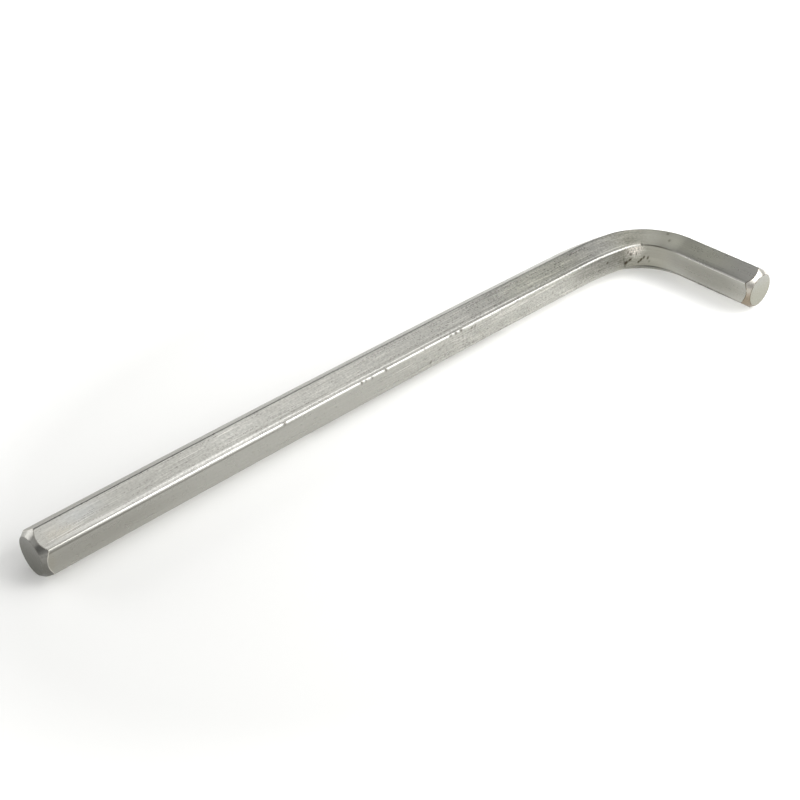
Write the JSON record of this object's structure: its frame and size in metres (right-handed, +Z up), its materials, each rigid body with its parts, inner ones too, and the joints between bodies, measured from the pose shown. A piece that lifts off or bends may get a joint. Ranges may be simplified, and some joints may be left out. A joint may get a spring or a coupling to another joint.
{
  "type": "hex key",
  "caption": "L-shaped hexagon bar key for turning socket-head screws, with a long arm, a short arm and turned chamfers on its ends.",
  "frame": {"origin": "middle of the key's outline, on the surface it lies on", "axes": "+X along the long arm towards the bend, -Y along the short arm towards its end, +Z up from the surface"},
  "size_m": [0.1542, 0.0364, 0.0091],
  "materials": {
    "plated_steel": "satin"
  },
  "bodies": {
    "root": {"hex_key": "plated_steel"}
  },
  "joints": []
}
